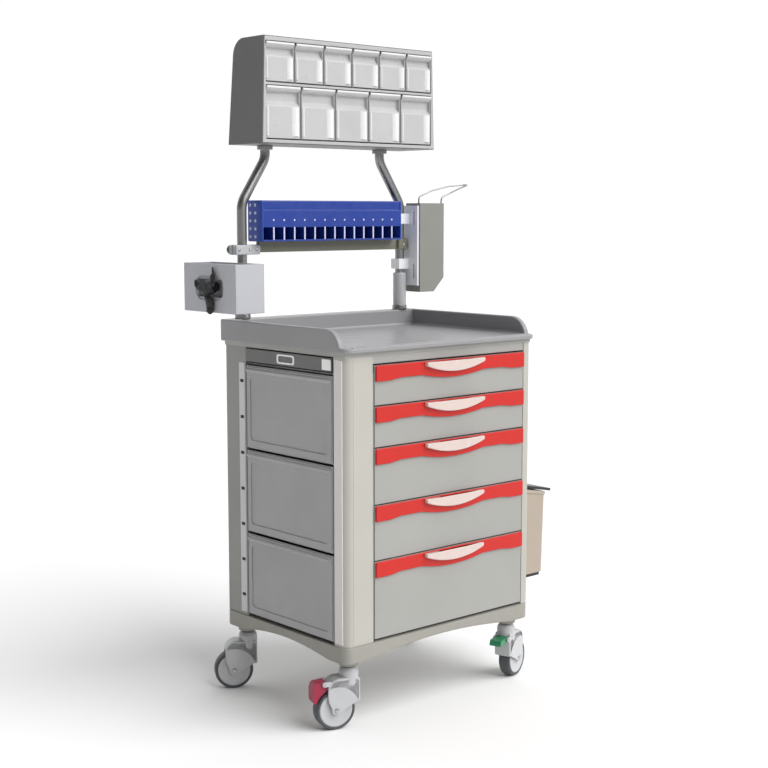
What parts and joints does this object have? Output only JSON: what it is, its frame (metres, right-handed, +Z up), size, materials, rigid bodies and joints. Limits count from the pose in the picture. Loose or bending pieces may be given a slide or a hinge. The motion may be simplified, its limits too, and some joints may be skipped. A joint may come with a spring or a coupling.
{
  "type": "hospital procedure trolley",
  "caption": "Wheeled hospital procedure trolley with drawers, tilt-out side bins, guarded worktop, and masts carrying a pocket rack and a cabinet of tilt bins.",
  "frame": {"origin": "middle of the whole object's footprint box, on the floor under the wheels", "axes": "+X to the object's right as seen by someone facing the drawers, +Y from the drawer fronts to the back, +Z up"},
  "size_m": [0.927, 0.538, 1.66],
  "materials": {
    "moulded_base": "fine matt texture",
    "post_aluminium": "satin anodised",
    "stile_grey": "satin anodised",
    "panel_steel": "fine matt texture",
    "worktop_abs": "fine matt texture",
    "slide_steel": "brushed",
    "mast_steel": "brushed",
    "rail_olive": "powder coat",
    "rack_blue": "gloss",
    "housing_grey": "fine matt texture",
    "shelf_grey": "fine matt texture",
    "holder_steel": "powder coat",
    "carton_card": "fine matt texture",
    "glove_black": "matt",
    "pocket_olive": "powder coat",
    "bracket_steel": "powder coat",
    "wire_steel": "polished",
    "waste_beige": "fine matt texture",
    "lid_black": "fine matt texture",
    "cradle_steel": "powder coat",
    "pedal_red": "fine matt texture",
    "pedal_green": "fine matt texture",
    "drawer_grey": "fine matt texture",
    "trim_red": "gloss",
    "handle_white": "gloss",
    "bin_clear": "gloss",
    "side_bin_smoke": "gloss",
    "caster_grey": "gloss",
    "caster_wheel": "matt"
  },
  "bodies": {
    "chassis": {"base_deck": "moulded_base", "corner_posts": "post_aluminium", "front_stile": "stile_grey", "cabinet_panels": "panel_steel", "top_frame": "panel_steel", "worktop": "worktop_abs", "drawer_slides": "slide_steel", "masts": "mast_steel", "mast_rail": "rail_olive", "pocket_rack": "rack_blue", "bin_cabinet": "housing_grey", "glove_holder": "holder_steel", "glove_carton": "carton_card", "glove": "glove_black", "side_pocket": "pocket_olive", "pocket_bracket": "bracket_steel", "wire_hook": "wire_steel", "waste_bin": "waste_beige", "waste_cradle": "cradle_steel"},
    "drawer_1_body": {"drawer_1": "drawer_grey", "drawer_trim_1": "trim_red", "drawer_handle_1": "handle_white"},
    "drawer_2_body": {"drawer_2": "drawer_grey", "drawer_trim_2": "trim_red", "drawer_handle_2": "handle_white"},
    "drawer_3_body": {"drawer_3": "drawer_grey", "drawer_trim_3": "trim_red", "drawer_handle_3": "handle_white"},
    "drawer_4_body": {"drawer_4": "drawer_grey", "drawer_trim_4": "trim_red", "drawer_handle_4": "handle_white"},
    "drawer_5_body": {"drawer_5": "drawer_grey", "drawer_trim_5": "trim_red", "drawer_handle_5": "handle_white"},
    "side_bin_1_body": {"side_bin_1": "side_bin_smoke"},
    "side_bin_2_body": {"side_bin_2": "side_bin_smoke"},
    "side_bin_3_body": {"side_bin_3": "side_bin_smoke"},
    "low_bin_1_body": {"low_bin_1": "bin_clear"},
    "low_bin_2_body": {"low_bin_2": "bin_clear"},
    "low_bin_3_body": {"low_bin_3": "bin_clear"},
    "low_bin_4_body": {"low_bin_4": "bin_clear"},
    "low_bin_5_body": {"low_bin_5": "bin_clear"},
    "top_bin_1_body": {"top_bin_1": "bin_clear"},
    "top_bin_2_body": {"top_bin_2": "bin_clear"},
    "top_bin_3_body": {"top_bin_3": "bin_clear"},
    "top_bin_4_body": {"top_bin_4": "bin_clear"},
    "top_bin_5_body": {"top_bin_5": "bin_clear"},
    "top_bin_6_body": {"top_bin_6": "bin_clear"},
    "side_shelf_body": {"side_shelf": "shelf_grey"},
    "waste_lid_body": {"waste_lid": "lid_black"},
    "swivel_fl": {"caster_fork_fl": "caster_grey"},
    "wheel_fl": {"caster_wheel_fl": "caster_wheel"},
    "swivel_fr": {"caster_fork_fr": "caster_grey"},
    "wheel_fr": {"caster_wheel_fr": "caster_wheel"},
    "swivel_rl": {"caster_fork_rl": "caster_grey"},
    "wheel_rl": {"caster_wheel_rl": "caster_wheel"},
    "swivel_rr": {"caster_fork_rr": "caster_grey"},
    "wheel_rr": {"caster_wheel_rr": "caster_wheel"},
    "brake_pedal_body": {"brake_pedal": "pedal_red"},
    "lock_pedal_body": {"lock_pedal": "pedal_green"}
  },
  "joints": [
    {"name": "drawer_1_slide", "type": "slide", "parent": "chassis", "child": "drawer_1_body", "axis": [0, -1, 0], "range_m": [0, 0.38]},
    {"name": "drawer_2_slide", "type": "slide", "parent": "chassis", "child": "drawer_2_body", "axis": [0, -1, 0], "range_m": [0, 0.38]},
    {"name": "drawer_3_slide", "type": "slide", "parent": "chassis", "child": "drawer_3_body", "axis": [0, -1, 0], "range_m": [0, 0.38]},
    {"name": "drawer_4_slide", "type": "slide", "parent": "chassis", "child": "drawer_4_body", "axis": [0, -1, 0], "range_m": [0, 0.38]},
    {"name": "drawer_5_slide", "type": "slide", "parent": "chassis", "child": "drawer_5_body", "axis": [0, -1, 0], "range_m": [0, 0.38]},
    {"name": "side_bin_1_tilt", "type": "hinge", "parent": "chassis", "child": "side_bin_1_body", "pos_m": [-0.3439, -0.036, 0.225], "axis": [0, -1, 0], "range_deg": [0, 32]},
    {"name": "side_bin_2_tilt", "type": "hinge", "parent": "chassis", "child": "side_bin_2_body", "pos_m": [-0.3439, -0.036, 0.439], "axis": [0, -1, 0], "range_deg": [0, 32]},
    {"name": "side_bin_3_tilt", "type": "hinge", "parent": "chassis", "child": "side_bin_3_body", "pos_m": [-0.3439, -0.036, 0.653], "axis": [0, -1, 0], "range_deg": [0, 32]},
    {"name": "low_bin_1_tilt", "type": "hinge", "parent": "chassis", "child": "low_bin_1_body", "pos_m": [-0.263, 0.093, 1.416], "axis": [1, 0, 0], "range_deg": [0, 40]},
    {"name": "low_bin_2_tilt", "type": "hinge", "parent": "chassis", "child": "low_bin_2_body", "pos_m": [-0.1512, 0.093, 1.416], "axis": [1, 0, 0], "range_deg": [0, 40]},
    {"name": "low_bin_3_tilt", "type": "hinge", "parent": "chassis", "child": "low_bin_3_body", "pos_m": [-0.0394, 0.093, 1.416], "axis": [1, 0, 0], "range_deg": [0, 40]},
    {"name": "low_bin_4_tilt", "type": "hinge", "parent": "chassis", "child": "low_bin_4_body", "pos_m": [0.0724, 0.093, 1.416], "axis": [1, 0, 0], "range_deg": [0, 40]},
    {"name": "low_bin_5_tilt", "type": "hinge", "parent": "chassis", "child": "low_bin_5_body", "pos_m": [0.1842, 0.093, 1.416], "axis": [1, 0, 0], "range_deg": [0, 40]},
    {"name": "top_bin_1_tilt", "type": "hinge", "parent": "chassis", "child": "top_bin_1_body", "pos_m": [-0.27232, 0.093, 1.554], "axis": [1, 0, 0], "range_deg": [0, 40]},
    {"name": "top_bin_2_tilt", "type": "hinge", "parent": "chassis", "child": "top_bin_2_body", "pos_m": [-0.17915, 0.093, 1.554], "axis": [1, 0, 0], "range_deg": [0, 40]},
    {"name": "top_bin_3_tilt", "type": "hinge", "parent": "chassis", "child": "top_bin_3_body", "pos_m": [-0.08598, 0.093, 1.554], "axis": [1, 0, 0], "range_deg": [0, 40]},
    {"name": "top_bin_4_tilt", "type": "hinge", "parent": "chassis", "child": "top_bin_4_body", "pos_m": [0.00718, 0.093, 1.554], "axis": [1, 0, 0], "range_deg": [0, 40]},
    {"name": "top_bin_5_tilt", "type": "hinge", "parent": "chassis", "child": "top_bin_5_body", "pos_m": [0.10035, 0.093, 1.554], "axis": [1, 0, 0], "range_deg": [0, 40]},
    {"name": "top_bin_6_tilt", "type": "hinge", "parent": "chassis", "child": "top_bin_6_body", "pos_m": [0.19352, 0.093, 1.554], "axis": [1, 0, 0], "range_deg": [0, 40]},
    {"name": "side_shelf_slide", "type": "slide", "parent": "chassis", "child": "side_shelf_body", "axis": [-1, 0, 0], "range_m": [0, 0.3]},
    {"name": "waste_lid_hinge", "type": "hinge", "parent": "chassis", "child": "waste_lid_body", "pos_m": [0.2841, -0.064, 0.51], "axis": [0, -1, 0], "range_deg": [0, 95]},
    {"name": "swivel_fl_turn", "type": "hinge", "parent": "chassis", "child": "swivel_fl", "pos_m": [-0.3069, -0.206, 0.1517], "axis": [0, 0, 1], "continuous": true},
    {"name": "wheel_fl_spin", "type": "hinge", "parent": "swivel_fl", "child": "wheel_fl", "pos_m": [-0.34314, -0.19457, 0.05], "axis": [-0.3007, -0.9537, 0], "continuous": true},
    {"name": "swivel_fr_turn", "type": "hinge", "parent": "chassis", "child": "swivel_fr", "pos_m": [0.2381, -0.209, 0.1517], "axis": [0, 0, 1], "continuous": true},
    {"name": "wheel_fr_spin", "type": "hinge", "parent": "swivel_fr", "child": "wheel_fr", "pos_m": [0.27424, -0.19726, 0.05], "axis": [-0.309, 0.9511, 0], "continuous": true},
    {"name": "swivel_rl_turn", "type": "hinge", "parent": "chassis", "child": "swivel_rl", "pos_m": [-0.3119, 0.194, 0.1517], "axis": [0, 0, 1], "continuous": true},
    {"name": "wheel_rl_spin", "type": "hinge", "parent": "swivel_rl", "child": "wheel_rl", "pos_m": [-0.34481, 0.213, 0.05], "axis": [-0.5, -0.866, 0], "continuous": true},
    {"name": "swivel_rr_turn", "type": "hinge", "parent": "chassis", "child": "swivel_rr", "pos_m": [0.2331, 0.187, 0.1517], "axis": [0, 0, 1], "continuous": true},
    {"name": "wheel_rr_spin", "type": "hinge", "parent": "swivel_rr", "child": "wheel_rr", "pos_m": [0.26754, 0.20306, 0.05], "axis": [-0.4226, 0.9063, 0], "continuous": true},
    {"name": "brake_pedal_press", "type": "hinge", "parent": "swivel_fl", "child": "brake_pedal_body", "pos_m": [-0.37271, -0.18525, 0.117], "axis": [-0.3007, -0.9537, 0], "range_deg": [0, 4]},
    {"name": "lock_pedal_press", "type": "hinge", "parent": "swivel_fr", "child": "lock_pedal_body", "pos_m": [0.21242, -0.21734, 0.114], "axis": [0.309, -0.9511, 0], "range_deg": [0, 6]}
  ]
}
